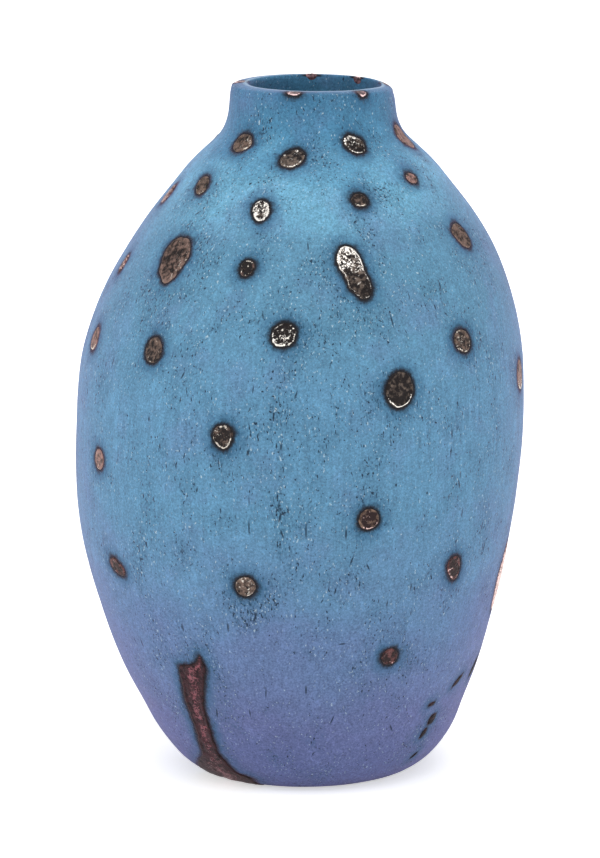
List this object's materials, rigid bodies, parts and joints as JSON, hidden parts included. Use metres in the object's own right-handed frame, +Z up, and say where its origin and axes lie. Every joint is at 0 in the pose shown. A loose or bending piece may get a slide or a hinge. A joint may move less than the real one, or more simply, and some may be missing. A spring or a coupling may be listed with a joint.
{
  "type": "faience jar",
  "caption": "Hand-built faience jar with a rounded belly and a short open neck, its matt blue wall inlaid flush with small dark metallic clay pellets.",
  "frame": {"origin": "centre of the flat underside of the foot", "axes": "+Z up along the jar, -Y towards the viewer of the picture, +X to that viewer's right, where the rim dips"},
  "size_m": [0.1955, 0.195, 0.3],
  "materials": {
    "blue_faience": "matt self-glazed paste, mottled and pitted",
    "bronze_clay": "satin metallic brown",
    "silvered_clay": "satin metallic, silver in parts",
    "copper_red_clay": "satin red-brown",
    "rosy_clay": "satin rosy brown",
    "iron_brown_clay": "matt dark brown, worn"
  },
  "bodies": {
    "root": {"back_belly_pellet_large": "silvered_clay", "back_belly_pellet_left": "bronze_clay", "back_belly_pellet_middle": "bronze_clay", "back_belly_pellet_right": "bronze_clay", "back_foot_pellet": "copper_red_clay", "back_lower_bean": "copper_red_clay", "back_lower_pellet_left": "bronze_clay", "back_lower_pellet_right": "copper_red_clay", "back_neck_pellet_left": "bronze_clay", "back_neck_pellet_right": "bronze_clay", "back_shoulder_pellet_left": "bronze_clay", "back_shoulder_pellet_middle": "silvered_clay", "back_shoulder_pellet_right": "bronze_clay", "back_shoulder_pellet_small": "bronze_clay", "back_upper_pellet_far_left": "bronze_clay", "back_upper_pellet_left": "bronze_clay", "back_upper_pellet_right": "bronze_clay", "back_upper_teardrop": "bronze_clay", "back_waist_pellet_left": "bronze_clay", "back_waist_pellet_middle": "bronze_clay", "back_waist_pellet_right": "bronze_clay", "belly_pellet_far_left": "bronze_clay", "belly_pellet_far_right": "bronze_clay", "belly_pellet_front": "silvered_clay", "belly_pellet_large": "silvered_clay", "belly_pellet_left": "bronze_clay", "belly_pellet_right": "bronze_clay", "foot_fleck_trail": "iron_brown_clay", "foot_pellet_right": "copper_red_clay", "foot_strip": "iron_brown_clay", "jar_body": "blue_faience", "lower_bean_left": "copper_red_clay", "lower_egg_right": "copper_red_clay", "lower_pellet_front": "bronze_clay", "lower_slab_far_right": "copper_red_clay", "neck_pellet_far_right": "bronze_clay", "neck_pellet_front": "silvered_clay", "neck_pellet_left": "bronze_clay", "neck_pellet_right": "silvered_clay", "rim_pellet_back": "rosy_clay", "rim_pellet_back_right": "rosy_clay", "rim_pellet_front_left": "rosy_clay", "rim_pellet_front_right": "rosy_clay", "rim_pellet_left": "rosy_clay", "rim_pellet_right": "rosy_clay", "shoulder_pellet_far_left": "copper_red_clay", "shoulder_pellet_front_left": "silvered_clay", "shoulder_pellet_front_right": "bronze_clay", "shoulder_pellet_half_moon": "bronze_clay", "shoulder_pellet_left": "bronze_clay", "shoulder_pellet_right": "bronze_clay", "upper_bean_front_right": "silvered_clay", "upper_pellet_front_left": "bronze_clay", "upper_sliver_left": "copper_red_clay", "upper_teardrop_left": "bronze_clay", "waist_egg_front_left": "bronze_clay", "waist_pellet_far_left": "bronze_clay", "waist_pellet_front_right": "copper_red_clay"}
  },
  "joints": []
}
